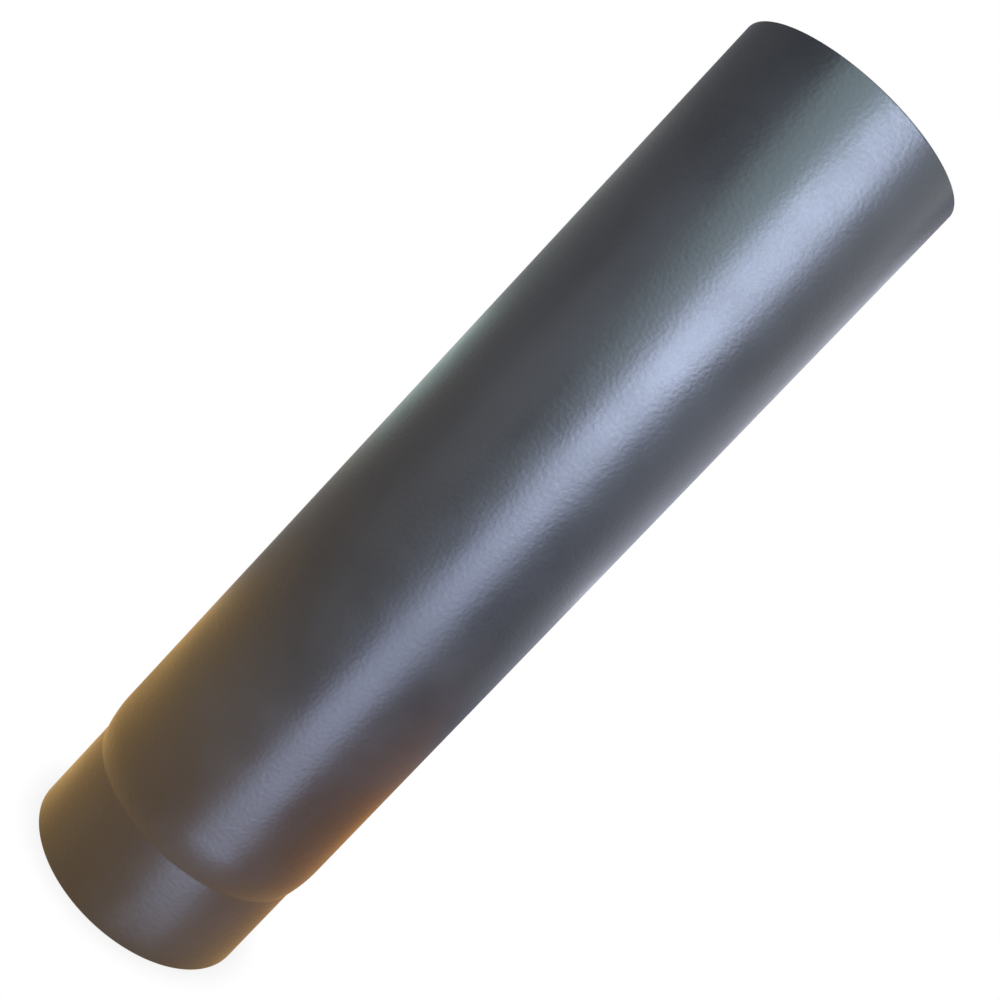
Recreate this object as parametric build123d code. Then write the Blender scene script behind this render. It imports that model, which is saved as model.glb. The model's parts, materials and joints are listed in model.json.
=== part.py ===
from build123d import *
import math
import os

# A straight length of single-wall stove pipe. One steel sheet is rolled and butt-welded into
# a tube. Its top end stays plain and is the socket for the next length. Its bottom end is
# swaged down to a spigot, which slips into the bore of the pipe or stove collar below it.
# Millimetres, +Z up along the pipe's axis, origin at the centre of the spigot's foot.

# Driving dimensions
bore_diameter = 125.0     # inside of the plain end, the size by which the pipe is sold
wall_thickness = 1.5      # gauge of the rolled sheet
overall_length = 500.0    # from the spigot's foot to the plain rim
spigot_clearance = 1.0    # gap on the radius between a spigot and the bore that it enters
spigot_length = 46.5      # straight part of the spigot, from its foot to the root of the swage
swage_length = 18.0       # height over which the spigot widens to the full diameter
swage_root_radius = 3.0   # outside radius of the tight bend where the spigot meets the swage
rim_radius = 0.35         # rounding of the four deburred edges of the two cut ends

# Sizes that follow from them
bore_radius = bore_diameter / 2
outer_radius = bore_radius + wall_thickness
spigot_radius = bore_radius - spigot_clearance
swage_step = outer_radius - spigot_radius
swage_top = spigot_length + swage_length

# The swage is an S of two tangent arcs, tight at its root and wide at its shoulder. Both turn by
# the same angle, which its step and length fix. The shoulder's radius is what the root's leaves.
swage_angle = 2 * math.atan2(swage_step, swage_length)
shoulder_radius = swage_length / math.sin(swage_angle) - swage_root_radius


def wall_face(inset):
    # Half section of one face of the wall, from the foot up to the rim, as seen in the XZ
    # plane. The inset is its depth under the outside face, measured square to the sheet.
    root_radius = swage_root_radius + inset
    straight_radius = spigot_radius - inset
    foot = (straight_radius, 0)
    swage_root = (straight_radius, spigot_length)
    turnover = (
        straight_radius + root_radius * (1 - math.cos(swage_angle)),
        spigot_length + root_radius * math.sin(swage_angle),
    )
    shoulder = (outer_radius - inset, swage_top)
    rim = (outer_radius - inset, overall_length)

    spigot_line = Line(foot, swage_root)
    root_arc = TangentArc(swage_root, turnover, tangent=spigot_line % 1)
    shoulder_arc = TangentArc(turnover, shoulder, tangent=root_arc % 1)
    pipe_line = Line(shoulder, rim)
    return [spigot_line, root_arc, shoulder_arc, pipe_line]


def flue_pipe():
    # The sheet's section between its two faces, turned once about the axis.
    outside = wall_face(0)
    inside = wall_face(wall_thickness)
    foot_line = Line(inside[0] @ 0, outside[0] @ 0)
    rim_line = Line(inside[-1] @ 1, outside[-1] @ 1)
    section = make_face([*outside, rim_line, *inside, foot_line])
    pipe = revolve(Plane.XZ * section, axis=Axis.Z)

    # Both cut ends are deburred, inside and outside.
    levels = pipe.edges().filter_by(GeomType.CIRCLE).group_by(Axis.Z)
    return fillet(levels[0] + levels[-1], rim_radius)


parts = {"flue_pipe": flue_pipe()}

os.makedirs("parts", exist_ok=True)
for name, part in parts.items():
    part.label = name
    export_step(part, f"parts/{name}.step")

print("outside diameter", 2 * outer_radius, "spigot outside diameter", 2 * spigot_radius)
print("swage step", swage_step, "shoulder radius", round(shoulder_radius, 2))
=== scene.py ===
import bmesh
import bpy
import json
import math
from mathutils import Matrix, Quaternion, Vector


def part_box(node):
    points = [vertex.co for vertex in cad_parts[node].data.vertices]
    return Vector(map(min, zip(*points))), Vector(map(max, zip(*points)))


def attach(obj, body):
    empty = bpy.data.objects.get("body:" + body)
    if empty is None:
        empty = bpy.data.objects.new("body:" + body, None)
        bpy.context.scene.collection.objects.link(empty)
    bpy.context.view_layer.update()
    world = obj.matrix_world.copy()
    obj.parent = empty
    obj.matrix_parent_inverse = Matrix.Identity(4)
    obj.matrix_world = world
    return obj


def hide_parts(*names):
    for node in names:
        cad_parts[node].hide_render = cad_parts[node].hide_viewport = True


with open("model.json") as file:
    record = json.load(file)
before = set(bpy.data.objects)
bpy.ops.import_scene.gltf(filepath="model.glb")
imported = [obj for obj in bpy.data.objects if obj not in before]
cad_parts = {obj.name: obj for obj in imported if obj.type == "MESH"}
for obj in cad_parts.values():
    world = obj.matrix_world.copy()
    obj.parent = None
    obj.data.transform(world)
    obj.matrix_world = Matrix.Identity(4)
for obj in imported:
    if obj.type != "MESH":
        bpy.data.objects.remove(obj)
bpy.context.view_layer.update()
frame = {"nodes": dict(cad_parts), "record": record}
print("frame loaded:", sorted(frame["nodes"]))

mmPerMetre = 1000


# small node helpers

def addNode(tree, kind, place, **settings):
    node = tree.nodes.new(kind)
    node.location = place
    for name, value in settings.items():
        setattr(node, name, value)
    return node


def setInputs(node, **values):
    for name, value in values.items():
        node.inputs[name].default_value = value


def feed(tree, socket, value):
    # another node's socket is linked, a number or a colour is set
    if isinstance(value, bpy.types.NodeSocket):
        tree.links.new(value, socket)
    else:
        socket.default_value = value


def addMath(tree, operation, place, *values):
    node = addNode(tree, "ShaderNodeMath", place, operation=operation)
    for socket, value in zip(node.inputs, values):
        feed(tree, socket, value)
    return node.outputs[0]


def addVectorMath(tree, operation, place, *values):
    node = addNode(tree, "ShaderNodeVectorMath", place, operation=operation)
    for socket, value in zip(node.inputs, values):
        feed(tree, socket, value)
    return node


def addFade(tree, place, source, span, result=(0.0, 1.0), **settings):
    # goes from one result to the other while the source goes over the span
    node = addNode(tree, "ShaderNodeMapRange", place, **settings)
    labels = ("From Min", "From Max", "To Min", "To Max")
    setInputs(node, **dict(zip(labels, (*span, *result))))
    feed(tree, node.inputs["Value"], source)
    return node.outputs["Result"]


def addBlend(tree, place, factor, first, second, kind="RGBA"):
    # the first at a factor of 0, the second at 1
    node = addNode(tree, "ShaderNodeMix", place, data_type=kind)
    for label, value in (("Factor", factor), ("A", first), ("B", second)):
        feed(tree, node.inputs[label], value)
    return node.outputs["Result"]


def addNoise(tree, place, spot, scale, detail, roughness):
    node = addNode(tree, "ShaderNodeTexNoise", place)
    setInputs(node, Detail=detail, Roughness=roughness)
    feed(tree, node.inputs["Vector"], spot)
    feed(tree, node.inputs["Scale"], scale)
    return node.outputs["Fac"]


def addSpot(tree, place):
    # where on the object a point lies, in metres
    return addNode(tree, "ShaderNodeTexCoord", place).outputs["Object"]


def addSplit(tree, place, spot):
    node = addNode(tree, "ShaderNodeSeparateXYZ", place)
    feed(tree, node.inputs["Vector"], spot)
    return node.outputs["X"], node.outputs["Y"], node.outputs["Z"]


def showTwoWays(tree, outputKind, thrown, seen):
    # the camera gets the seen shader, every other ray the thrown one
    ray = addNode(tree, "ShaderNodeLightPath", (1100, 300))
    choice = addNode(tree, "ShaderNodeMixShader", (1300, 0))
    out = addNode(tree, outputKind, (1500, 0))
    feed(tree, choice.inputs["Fac"], ray.outputs["Is Camera Ray"])
    feed(tree, choice.inputs[1], thrown)
    feed(tree, choice.inputs[2], seen)
    feed(tree, out.inputs["Surface"], choice.outputs["Shader"])


def makeGroup(name, inputs, outputs):
    group = bpy.data.node_groups.new(name, "ShaderNodeTree")
    for label, kind, value in inputs:
        socket = group.interface.new_socket(name=label, in_out="INPUT", socket_type=kind)
        socket.default_value = value
    for label, kind in outputs:
        group.interface.new_socket(name=label, in_out="OUTPUT", socket_type=kind)
    start = addNode(group, "NodeGroupInput", (-900, 0))
    end = addNode(group, "NodeGroupOutput", (700, 0))
    return group, start, end


def placeGroup(tree, group, place, values):
    node = addNode(tree, "ShaderNodeGroup", place, node_tree=group)
    setInputs(node, **values)
    return node


def newMaterial(name):
    material = bpy.data.materials.new(name)
    material.use_nodes = True
    return material, material.node_tree, material.node_tree.nodes["Principled BSDF"]


# shared effects

def makeSprayGrain():
    # pebbled skin of a sprayed coat, lumps with a finer grit on them
    group, start, end = makeGroup(
        "sprayGrain",
        [
            ("Lump Size mm", "NodeSocketFloat", 1.8),
            ("Grit Size mm", "NodeSocketFloat", 0.6),
            ("Grit Share", "NodeSocketFloat", 0.4),
        ],
        [("Height", "NodeSocketFloat"), ("Grit", "NodeSocketFloat")],
    )
    spot = addSpot(group, (-900, 300))
    lumpScale = addMath(group, "DIVIDE", (-650, 100), mmPerMetre, start.outputs["Lump Size mm"])
    gritScale = addMath(group, "DIVIDE", (-650, -100), mmPerMetre, start.outputs["Grit Size mm"])
    lumps = addNoise(group, (-400, 200), spot, lumpScale, detail=0.0, roughness=0.5)
    grit = addNoise(group, (-400, -100), spot, gritScale, detail=1.0, roughness=0.5)
    height = addBlend(group, (100, 50), start.outputs["Grit Share"], lumps, grit, kind="FLOAT")
    feed(group, end.inputs["Height"], height)
    feed(group, end.inputs["Grit"], grit)
    return group


def makeCloudTone():
    # slow drift between two tones of one finish
    cloudSpan = (0.3, 0.7)      # noise values that give the pure tones
    group, start, end = makeGroup(
        "cloudTone",
        [
            ("Dark", "NodeSocketColor", (0.03, 0.03, 0.03, 1)),
            ("Light", "NodeSocketColor", (0.05, 0.05, 0.05, 1)),
            ("Cloud Size mm", "NodeSocketFloat", 40.0),
        ],
        [("Colour", "NodeSocketColor"), ("Cloud", "NodeSocketFloat")],
    )
    spot = addSpot(group, (-900, 300))
    scale = addMath(group, "DIVIDE", (-650, 100), mmPerMetre, start.outputs["Cloud Size mm"])
    noise = addNoise(group, (-400, 200), spot, scale, detail=3.0, roughness=0.55)
    cloud = addFade(group, (-150, 200), noise, cloudSpan)
    colour = addBlend(group, (150, 100), cloud, start.outputs["Dark"], start.outputs["Light"])
    feed(group, end.inputs["Colour"], colour)
    feed(group, end.inputs["Cloud"], cloud)
    return group


def makeWeldRipple():
    # bowed ripples of the long weld, on the +Y side only
    edgeSpan = (1.0, 0.6)       # shares of the half width between which the weld sets in
    group, start, end = makeGroup(
        "weldRipple",
        [("Width mm", "NodeSocketFloat", 4.5), ("Pitch mm", "NodeSocketFloat", 1.6)],
        [("Height", "NodeSocketFloat")],
    )
    x, y, z = addSplit(group, (-1500, 200), addSpot(group, (-1700, 200)))

    # place across the weld, 1 at its edges
    side = addMath(group, "ABSOLUTE", (-1300, 300), x)
    width = addMath(group, "MULTIPLY", (-1100, 300), side, 2 * mmPerMetre)
    across = addMath(group, "DIVIDE", (-900, 300), width, start.outputs["Width mm"])
    edge = addFade(group, (-600, 300), across, edgeSpan, interpolation_type="SMOOTHSTEP")
    behind = addMath(group, "GREATER_THAN", (-600, 0), y, 0.0)
    seam = addMath(group, "MULTIPLY", (-350, 200), edge, behind)

    # waves up the weld, lagging toward its edges
    bow = addMath(group, "MULTIPLY", (-750, 0), across, across)
    rise = addMath(group, "MULTIPLY", (-900, -200), z, mmPerMetre)
    along = addMath(group, "ADD", (-750, -200), rise, bow)
    waves = addMath(group, "DIVIDE", (-600, -200), along, start.outputs["Pitch mm"])
    turns = addMath(group, "MULTIPLY", (-450, -200), waves, 2 * math.pi)
    swing = addMath(group, "SINE", (-300, -200), turns)
    crest = addFade(group, (0, -100), swing, (-1.0, 1.0))
    feed(group, end.inputs["Height"], addMath(group, "MULTIPLY", (250, 0), seam, crest))
    return group


sprayGrain = makeSprayGrain()
cloudTone = makeCloudTone()
weldRipple = makeWeldRipple()
print("shared effects built: sprayGrain, cloudTone, weldRipple")


# skin that both finishes have, their grain laid over the weld's ripples

weldSize = {"Width mm": 4.5, "Pitch mm": 1.6}


def addSkin(tree, look):
    grain = placeGroup(tree, sprayGrain, (-700, -200), look["grain"])
    weld = placeGroup(tree, weldRipple, (-700, -500), weldSize)
    ripple = addNode(tree, "ShaderNodeBump", (-450, -500))
    setInputs(ripple, Strength=1.0, Distance=look["rippleDepth"])
    bump = addNode(tree, "ShaderNodeBump", (-250, -300))
    setInputs(bump, Strength=1.0, Distance=look["grainDepth"])
    feed(tree, ripple.inputs["Height"], weld.outputs["Height"])
    feed(tree, bump.inputs["Normal"], ripple.outputs["Normal"])
    feed(tree, bump.inputs["Height"], grain.outputs["Height"])
    return grain, bump.outputs["Normal"]


# charcoal paint, outside and on the cut rims

paintLook = {
    "grain": {"Lump Size mm": 2.0, "Grit Size mm": 1.1, "Grit Share": 0.30},
    "tone": {
        "Dark": (0.008, 0.008, 0.0085, 1),
        "Light": (0.013, 0.013, 0.0135, 1),
        "Cloud Size mm": 60.0,
    },
    "roughness": (0.28, 0.43),
    "glossSpan": (0.2, 0.8),   # cloud and grit values that give the two roughnesses
    "glossSpeck": 0.5,         # how much of the gloss follows the grit
    "grainDepth": 0.00009,     # metres from pit to crest
    "rippleDepth": 0.00006,
}


def makeCharcoalPaint(look):
    material, tree, shader = newMaterial("charcoalPaint")
    grain, normal = addSkin(tree, look)
    tone = placeGroup(tree, cloudTone, (-700, 200), look["tone"])
    cloud, grit = tone.outputs["Cloud"], grain.outputs["Grit"]
    speck = addBlend(tree, (-520, 0), look["glossSpeck"], cloud, grit, kind="FLOAT")
    gloss = addFade(tree, (-350, 0), speck, look["glossSpan"], look["roughness"])
    feed(tree, shader.inputs["Base Color"], tone.outputs["Colour"])
    feed(tree, shader.inputs["Roughness"], gloss)
    feed(tree, shader.inputs["Normal"], normal)
    return material


# bare rolled steel, inside

steelLook = {
    "grain": {"Lump Size mm": 2.6, "Grit Size mm": 0.5, "Grit Share": 0.5},
    "tone": {
        "Dark": (0.17, 0.165, 0.16, 1),
        "Light": (0.30, 0.295, 0.29, 1),
        "Cloud Size mm": 45.0,
    },
    "roughness": (0.42, 0.60),
    "grainDepth": 0.00005,
    "rippleDepth": 0.00008,
    "mistTone": (0.016, 0.016, 0.017, 1),   # paint that drifted into the mouths
    "mistReach": 0.040,
    "mistSpeck": 900.0,                     # noise scale of its drops
    "mistCover": (0.72, 1.05),              # nearness to a mouth plus drops, from bare to painted
}


def addMist(tree, look):
    # thick at the two mouths and thinning to specks
    low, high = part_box("flue_pipe")
    spot = addSpot(tree, (-1700, 700))
    height = addSplit(tree, (-1500, 800), spot)[2]
    lowMist = addFade(tree, (-1300, 900), height, (low.z + look["mistReach"], low.z))
    highMist = addFade(tree, (-1300, 650), height, (high.z - look["mistReach"], high.z))
    nearest = addMath(tree, "MAXIMUM", (-1100, 800), lowMist, highMist)
    drops = addNoise(tree, (-1500, 500), spot, look["mistSpeck"], detail=2.0, roughness=0.6)
    cover = addMath(tree, "ADD", (-900, 700), nearest, drops)
    return addFade(tree, (-700, 700), cover, look["mistCover"], interpolation_type="SMOOTHSTEP")


def makeBareSteel(look):
    material, tree, shader = newMaterial("bareSteel")
    normal = addSkin(tree, look)[1]
    tone = placeGroup(tree, cloudTone, (-700, 200), look["tone"])
    mist = addMist(tree, look)
    colour = addBlend(tree, (-350, 300), mist, tone.outputs["Colour"], look["mistTone"])
    metal = addFade(tree, (-350, 100), mist, (0.0, 1.0), (1.0, 0.0))
    gloss = addFade(tree, (-350, -150), tone.outputs["Cloud"], (0.0, 1.0), look["roughness"])
    feed(tree, shader.inputs["Base Color"], colour)
    feed(tree, shader.inputs["Metallic"], metal)
    feed(tree, shader.inputs["Roughness"], gloss)
    feed(tree, shader.inputs["Normal"], normal)
    return material


# the pipe, one rolled and welded sheet

pipeShape = {
    "rimRound": 0.00035,
    "swageRootRadius": 0.003,
    "columns": 180,           # round the pipe, seam columns not counted
    "rowGap": 0.010,          # between rows on the straight runs
    "holdBack": 0.0006,       # from a run's end to the row that holds its shading
    "rootSteps": 5,           # rows on the round stretches
    "shoulderSteps": 12,
    "rimSteps": 4,
    "seamAngle": 90,          # on +Y, away from the camera
    "seamWidth": weldSize["Width mm"] / mmPerMetre,
    "seamCrown": 0.00022,
    "seamFade": 0.006,        # the bead is dressed flush over this run before the cut ends
    "seamColumns": 16,
}
beadSide = {"outside": 1, "inside": -1, "cut": 0}    # which way the bead stands on each face


def readSizes(shape):
    mounts = {m["name"]: m["dims"] for m in frame["record"]["mounts"]}
    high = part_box("flue_pipe")[1]
    sizes = {
        "top": high.z,
        "outer": high.x,
        "bore": mounts["socket"]["r_mm"] / mmPerMetre,
        "spigot": mounts["spigot"]["r_mm"] / mmPerMetre,
    }
    sizes["wall"] = sizes["outer"] - sizes["bore"]
    sizes["swageRoot"] = shape["rimRound"] + mounts["spigot"]["length_mm"] / mmPerMetre
    sizes["swageTop"] = high.z - shape["rimRound"] - mounts["socket"]["length_mm"] / mmPerMetre
    return sizes


def arcPoints(centre, radius, start, stop, steps):
    points = []
    for i in range(steps + 1):
        angle = math.radians(start + (stop - start) * i / steps)
        points.append((centre[0] + radius * math.cos(angle), centre[1] + radius * math.sin(angle)))
    return points


def linePoints(start, stop, shape):
    # inner points of a straight run, with one close to each end to hold the shading
    length = math.dist(start, stop)
    steps = max(1, round(length / shape["rowGap"]))
    close = shape["holdBack"] / length
    shares = [close] + [i / steps for i in range(1, steps)] + [1 - close]
    return [tuple(a + (b - a) * share for a, b in zip(start, stop)) for share in shares]


def wallPoints(sizes, shape, inset):
    # one face of the wall from foot to rim, radius and height
    rise = sizes["swageTop"] - sizes["swageRoot"]
    step = sizes["outer"] - sizes["spigot"]
    turn = math.degrees(2 * math.atan2(step, rise))
    rootRadius = shape["swageRootRadius"]
    shoulderRadius = rise / math.sin(math.radians(turn)) - rootRadius
    rootCentre = (sizes["spigot"] + rootRadius, sizes["swageRoot"])
    shoulderCentre = (sizes["outer"] - shoulderRadius, sizes["swageTop"])
    root = arcPoints(rootCentre, rootRadius + inset, 180, 180 - turn, shape["rootSteps"])
    shoulder = arcPoints(shoulderCentre, shoulderRadius - inset, -turn, 0, shape["shoulderSteps"])
    foot = (sizes["spigot"] - inset, shape["rimRound"])
    rim = (sizes["outer"] - inset, sizes["top"] - shape["rimRound"])
    spigotRun = linePoints(foot, root[0], shape)
    pipeRun = linePoints(shoulder[-1], rim, shape)
    return [foot] + spigotRun + root + shoulder[1:] + pipeRun + [rim]


def sectionPoints(sizes, shape):
    # closed section, up the outside, over the rim, down the inside, under the foot
    rounding = shape["rimRound"]
    rimHeight = sizes["top"] - rounding
    gasWay = sizes["spigot"] - sizes["wall"]

    def corner(radius, height, start):
        return arcPoints((radius, height), rounding, start, start + 90, shape["rimSteps"])

    outside = wallPoints(sizes, shape, 0)
    inside = wallPoints(sizes, shape, sizes["wall"])
    rim = corner(sizes["outer"] - rounding, rimHeight, 0)[1:]
    rim += corner(sizes["bore"] + rounding, rimHeight, 90)[:-1]
    foot = corner(gasWay + rounding, rounding, 180)[1:]
    foot += corner(sizes["spigot"] - rounding, rounding, 270)[:-1]
    rows = [(p, "outside") for p in outside] + [(p, "cut") for p in rim]
    rows += [(p, "inside") for p in reversed(inside)] + [(p, "cut") for p in foot]
    return rows


def columnAngles(sizes, shape):
    centre = math.radians(shape["seamAngle"])
    seamHalf = shape["seamWidth"] / 2 / sizes["outer"]
    rest = 2 * math.pi - 2 * seamHalf
    seamColumns, columns = shape["seamColumns"], shape["columns"]
    seam = [centre - seamHalf + 2 * seamHalf * i / seamColumns for i in range(seamColumns)]
    return seam + [centre + seamHalf + rest * i / columns for i in range(columns)]


def seamRise(angle, height, sizes, shape):
    # weld bead, a smooth crown that is dressed flush just before the cut ends
    fromMiddle = (angle - math.radians(shape["seamAngle"])) * sizes["outer"]
    across = fromMiddle / (shape["seamWidth"] / 2)
    if abs(across) >= 1:
        return 0.0
    fade = min(1.0, height / shape["seamFade"], (sizes["top"] - height) / shape["seamFade"])
    return shape["seamCrown"] * 0.5 * (1 + math.cos(math.pi * across)) * max(0.0, fade)


def makePipe(shape, paint, steel):
    sizes = readSizes(shape)
    rows = sectionPoints(sizes, shape)
    angles = columnAngles(sizes, shape)
    mesh = bpy.data.meshes.new("fluePipe")
    shell = bmesh.new()
    grid = []
    for (radius, height), side in rows:
        ring = []
        for angle in angles:
            r = radius + beadSide[side] * seamRise(angle, height, sizes, shape)
            ring.append(shell.verts.new((r * math.cos(angle), r * math.sin(angle), height)))
        grid.append(ring)
    for i, ring in enumerate(grid):
        following = (i + 1) % len(grid)
        above = grid[following]
        bare = rows[i][1] == "inside" and rows[following][1] == "inside"
        for j in range(len(ring)):
            k = (j + 1) % len(ring)
            face = shell.faces.new((ring[j], ring[k], above[k], above[j]))
            face.smooth = True
            face.material_index = 1 if bare else 0
    bmesh.ops.recalc_face_normals(shell, faces=shell.faces)
    shell.to_mesh(mesh)
    shell.free()
    mesh.materials.append(paint)
    mesh.materials.append(steel)
    pipe = bpy.data.objects.new("fluePipe", mesh)
    bpy.context.scene.collection.objects.link(pipe)
    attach(pipe, "root")
    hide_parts("flue_pipe")
    print("pipe built:", len(mesh.vertices), "points,", len(mesh.polygons), "faces")


makePipe(pipeShape, makeCharcoalPaint(paintLook), makeBareSteel(steelLook))


# plain pale floor; it looks white to the camera, and what it throws on the pipe is set apart: to every
# other ray it glows with painted light, a warm painted bounce and painted window reflections

floorLook = {
    "radius": 40.0,
    "edgePoints": 96,
    "pale": (1.0, 1.0, 1.0, 1),           # seen by the camera
    "contactShade": (0.80, 0.795, 0.79, 1),
    "contactReach": 0.014,
    "contactSamples": 16,
    # painted light that the floor glows with and throws on the pipe; pairs of colours are left and right
    "nearGlow": ((1.80, 1.12, 0.41, 1), (1.05, 0.45, 0.12, 1)),
    "farGlow": ((0.60, 0.53, 0.48, 1), (0.26, 0.28, 0.36, 1)),
    "sideBlend": (-0.25, 0.25),
    "glowReach": (0.35, 0.54),            # from near to far
    "glowStretch": (0.80, 1.20, 1.0),     # it reaches less far behind than beside
    "steepGlow": (0.66, 0.62, 0.58, 1),   # painted glow of the floor looked down on, away from its painted warm reflection
    "steepSlant": (0.18, 0.36),
    "footGlow": ((2.10, 1.37, 0.55, 1), (0.72, 0.31, 0.08, 1)),
    "footReach": (0.14, 0.09),            # sets in toward the foot
    "streakSlant": (0.42, 0.64),          # the painted reflection streaks show only at a slant
    "streaks": {
        # painted reflection of a window in the floor, glowing for the pipe
        "window": {
            "azimuth": 30,
            "offset": 0.014,              # how far it passes the pipe's axis on the left
            "spread": (23, 9),            # degrees to each side, from its edge to its full glow
            "start": (0.065, 0.17),
            "glow": (6.0, 6.7, 9.5, 1),
        },
        # painted highlight streak behind the pipe, which the back of the pipe reflects
        "back": {
            "azimuth": 180,
            "offset": 0.0,
            "spread": (11, 4),
            "start": (0.10, 0.25),
            "glow": (7.0, 7.8, 10.5, 1),
        },
    },
}


def addSeenFloor(tree, look):
    # white with a soft touch of shade at the foot
    contact = addNode(tree, "ShaderNodeAmbientOcclusion", (-200, -300), samples=look["contactSamples"])
    setInputs(contact, Distance=look["contactReach"])
    shade = addBlend(tree, (100, -300), contact.outputs["AO"], look["contactShade"], look["pale"])
    seen = addNode(tree, "ShaderNodeEmission", (900, -200))
    feed(tree, seen.inputs["Color"], shade)
    return seen.outputs["Emission"]


def addPaintedFloorGlow(tree, spot, facing, look):
    # painted warm bounce glow of the floor, left to right and near to far, brighter toward the foot
    side = addFade(tree, (-700, 700), addSplit(tree, (-1000, 700), spot)[0], look["sideBlend"])
    near = addBlend(tree, (-400, 700), side, *look["nearGlow"])
    far = addBlend(tree, (-400, 400), side, *look["farGlow"])
    foot = addBlend(tree, (-400, 1400), side, *look["footGlow"])

    stretched = addVectorMath(tree, "MULTIPLY", (-1150, 400), spot, look["glowStretch"])
    away = addVectorMath(tree, "LENGTH", (-950, 400), stretched.outputs["Vector"])
    reach = addFade(tree, (-700, 400), away.outputs["Value"], look["glowReach"])
    groundGlow = addBlend(tree, (-150, 500), reach, near, far)

    # painted reflection: the warm glow shows at a slant and gives way to the steep glow where the floor
    # is looked down on
    paintedSheenShare = addFade(tree, (-400, 950), facing, look["steepSlant"])
    paintedSheenGlow = addBlend(tree, (0, 600), paintedSheenShare, look["steepGlow"], groundGlow)

    fromFoot = addVectorMath(tree, "LENGTH", (-700, 1200), spot)
    close = addFade(tree, (-400, 1200), fromFoot.outputs["Value"], look["footReach"])
    return addBlend(tree, (150, 700), close, paintedSheenGlow, foot)


def addStreak(tree, row, spot, slant, look):
    # mask of a painted window reflection, a streak of glow that fans out along the floor, away from the
    # pipe
    angle = math.radians(look["azimuth"])
    outward = (math.sin(angle), -math.cos(angle), 0)
    sideways = (math.cos(angle), math.sin(angle), 0)
    fanSpan = [math.tan(math.radians(spread)) for spread in look["spread"]]
    along = addVectorMath(tree, "DOT_PRODUCT", (-1000, row), spot, outward).outputs["Value"]
    across = addVectorMath(tree, "DOT_PRODUCT", (-1000, row - 200), spot, sideways).outputs["Value"]
    aside = addMath(tree, "ADD", (-800, row - 200), across, look["offset"])
    ratio = addMath(tree, "DIVIDE", (-600, row - 200), aside, along)
    size = addMath(tree, "ABSOLUTE", (-400, row - 200), ratio)
    fan = addFade(tree, (-200, row - 200), size, fanSpan, interpolation_type="SMOOTHSTEP")
    front = addFade(tree, (-200, row), along, look["start"])
    lit = addMath(tree, "MULTIPLY", (0, row), front, slant)
    return addMath(tree, "MULTIPLY", (200, row), fan, lit)


def makePaleFloor(look):
    material = bpy.data.materials.new("paleFloor")
    material.use_nodes = True
    tree = material.node_tree
    tree.nodes.clear()
    spot = addSpot(tree, (-1300, 100))
    facing = addNode(tree, "ShaderNodeLayerWeight", (-700, -450)).outputs["Facing"]
    slant = addFade(tree, (-400, -450), facing, look["streakSlant"])
    glow = addPaintedFloorGlow(tree, spot, facing, look)
    # the painted reflection streaks glow over the painted warm bounce
    for i, streak in enumerate(look["streaks"].values()):
        mask = addStreak(tree, -700 - 450 * i, spot, slant, streak)
        glow = addBlend(tree, (500 + 200 * i, -700), mask, glow, streak["glow"])
    bounce = addNode(tree, "ShaderNodeEmission", (900, 100))
    feed(tree, bounce.inputs["Color"], glow)
    seen = addSeenFloor(tree, look)
    showTwoWays(tree, "ShaderNodeOutputMaterial", bounce.outputs["Emission"], seen)
    return material


def makeFloor(look):
    mesh = bpy.data.meshes.new("studioFloor")
    disc = bmesh.new()
    bmesh.ops.create_circle(disc, cap_ends=True, segments=look["edgePoints"], radius=look["radius"])
    disc.to_mesh(mesh)
    disc.free()
    mesh.materials.append(makePaleFloor(look))
    floor = bpy.data.objects.new("studioFloor", mesh)
    bpy.context.scene.collection.objects.link(floor)
    print("floor laid, with streaks:", ", ".join(look["streaks"]))


makeFloor(floorLook)


# soft studio light

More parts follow.
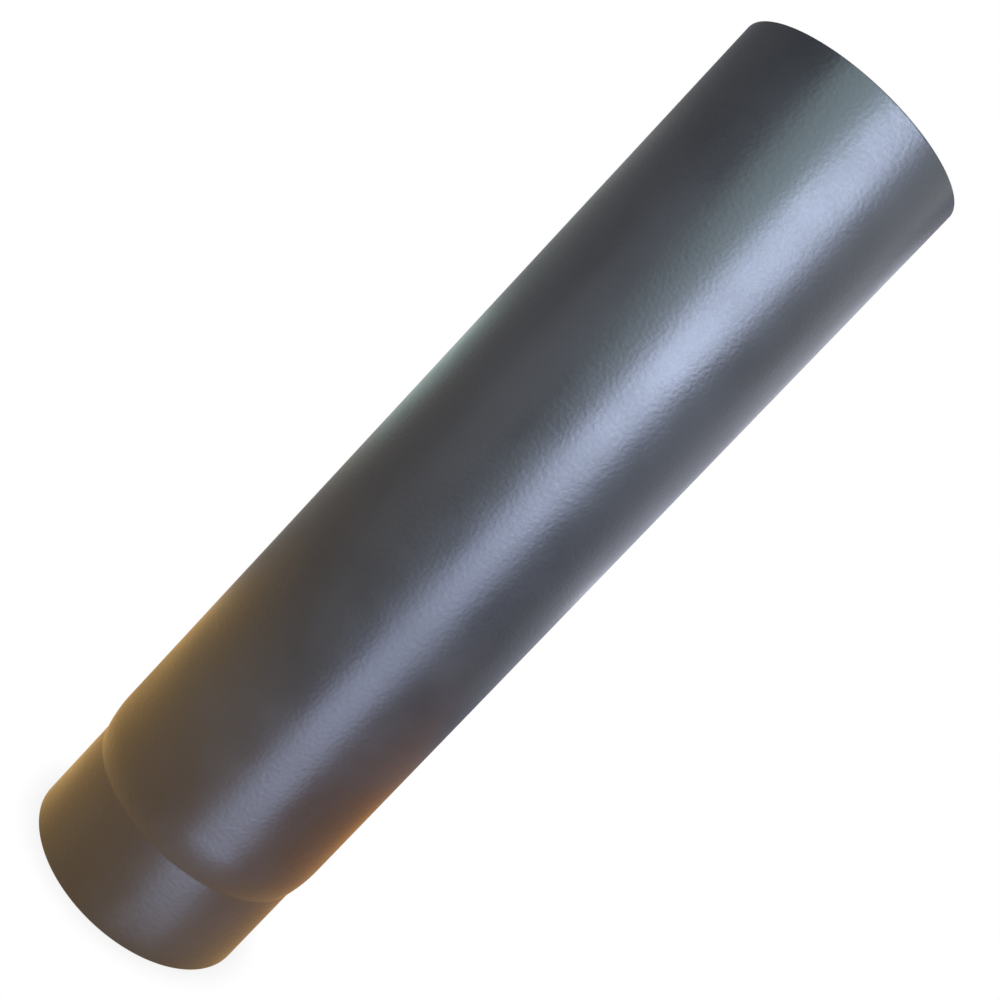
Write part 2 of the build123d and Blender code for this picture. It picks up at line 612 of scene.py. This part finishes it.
lightAim = Vector((0, 0, 0.25))
softBoxes = {
    "windowKey": {"azimuth": 30.5, "height": 0.71, "distance": 1.6, "size": (1.35, 1.08),
                  "shape": "ELLIPSE", "tint": (0.65, 0.75, 1.0), "glow": 20.0},
    "windowEdge": {"azimuth": 60, "height": 0.95, "distance": 1.6, "size": (0.6, 1.0),
                   "shape": "ELLIPSE", "tint": (0.80, 0.88, 1.0), "glow": 0.8},
    "windowGlow": {"azimuth": -2, "height": 0.40, "distance": 1.6, "size": (0.9, 0.5),
                   "shape": "ELLIPSE", "tint": (0.80, 0.86, 1.0), "glow": 1.5},
    "upperLeft": {"azimuth": -9, "height": 1.22, "distance": 1.6, "size": (1.7, 1.5),
                  "shape": "ELLIPSE", "tint": (0.70, 0.96, 1.0), "glow": 4.4},
    "roomLeft": {"azimuth": -45, "height": 0.35, "distance": 1.6, "size": (1.1, 0.7),
                 "shape": "RECTANGLE", "tint": (0.86, 0.90, 1.0), "glow": 1.1},
    "leftWall": {"azimuth": -88, "height": 0.42, "distance": 1.6, "size": (1.9, 0.85),
                 "shape": "RECTANGLE", "tint": (0.90, 0.92, 1.0), "glow": 0.40},
    "rightWall": {"azimuth": 92, "height": 0.40, "distance": 1.6, "size": (1.7, 0.8),
                  "shape": "RECTANGLE", "tint": (0.90, 0.94, 1.0), "glow": 0.80},
    "rightHigh": {"azimuth": 92, "height": 1.2, "distance": 1.6, "size": (1.7, 0.8),
                  "shape": "RECTANGLE", "tint": (0.95, 1.0, 1.0), "glow": 1.4},
    "backRight": {"azimuth": 145, "height": 0.45, "distance": 1.6, "size": (2.0, 0.95),
                  "shape": "RECTANGLE", "tint": (0.84, 0.87, 1.0), "glow": 1.2},
    "backLeft": {"azimuth": -145, "height": 0.40, "distance": 1.6, "size": (1.6, 0.9),
                 "shape": "RECTANGLE", "tint": (0.94, 1.0, 0.93), "glow": 0.32},
    "lowLeft": {"azimuth": -138, "height": 0.16, "distance": 1.6, "size": (1.3, 0.3),
                "shape": "RECTANGLE", "tint": (0.50, 1.0, 1.0), "glow": 0.75},
    "lowRight": {"azimuth": 130, "height": 0.09, "distance": 0.75, "size": (1.0, 0.17),
                 "shape": "RECTANGLE", "tint": (0.86, 0.93, 1.0), "glow": 0.40},
}
airLook = {"room": (0.30, 0.31, 0.35, 1), "pale": (1.0, 1.0, 1.0, 1)}


def addSoftBox(name, look):
    # azimuth 0 is the camera's side, 90 is to its right; glow is the panel's own brightness
    angle = math.radians(look["azimuth"])
    data = bpy.data.lights.new(name, "AREA")
    data.shape = look["shape"]
    data.size, data.size_y = look["size"]
    area = data.size * data.size_y * (math.pi / 4 if data.shape == "ELLIPSE" else 1)
    data.color = look["tint"]
    data.energy = look["glow"] * math.pi * area
    panel = bpy.data.objects.new(name, data)
    away = Vector((math.sin(angle), -math.cos(angle), 0)) * look["distance"]
    panel.location = Vector((away.x, away.y, look["height"]))
    panel.rotation_mode = "QUATERNION"
    panel.rotation_quaternion = (lightAim - panel.location).to_track_quat("-Z", "Y")
    panel.visible_camera = False
    bpy.context.scene.collection.objects.link(panel)


def makeAir(look):
    # dim for the pipe, plain white behind it
    world = bpy.data.worlds.new("studioAir")
    bpy.context.scene.world = world
    world.use_nodes = True
    tree = world.node_tree
    tree.nodes.clear()
    room = addNode(tree, "ShaderNodeBackground", (900, 50))
    backdrop = addNode(tree, "ShaderNodeBackground", (900, -150))
    setInputs(room, Color=look["room"])
    setInputs(backdrop, Color=look["pale"])
    showTwoWays(tree, "ShaderNodeOutputWorld", room.outputs["Background"], backdrop.outputs["Background"])


for boxName, boxLook in softBoxes.items():
    addSoftBox(boxName, boxLook)
makeAir(airLook)
print("lights set:", ", ".join(softBoxes))


# camera, level with the upper part of the pipe and rolled over

cameraSetup = {
    "distance": 0.5463,
    "height": 0.3260,
    "aimHeight": 0.2748,
    "roll": 43.42,
    "lens": 40.76,            # millimetres, as is the sensor
    "sensor": 36.0,
    "shift": (-0.015, -0.025),
    "clipStart": 0.01,
}


def addCamera(setup):
    data = bpy.data.cameras.new("photoCamera")
    data.sensor_width = setup["sensor"]
    data.lens = setup["lens"]
    data.shift_x, data.shift_y = setup["shift"]
    data.clip_start = setup["clipStart"]
    camera = bpy.data.objects.new("photoCamera", data)
    camera.location = (0, -setup["distance"], setup["height"])
    aim = Vector((0, 0, setup["aimHeight"])) - camera.location
    roll = Quaternion((0, 0, 1), math.radians(setup["roll"]))
    camera.rotation_mode = "QUATERNION"
    camera.rotation_quaternion = aim.to_track_quat("-Z", "Y") @ roll
    bpy.context.scene.collection.objects.link(camera)
    bpy.context.scene.camera = camera


addCamera(cameraSetup)
bpy.context.scene.view_settings.view_transform = "Standard"
print("camera set")
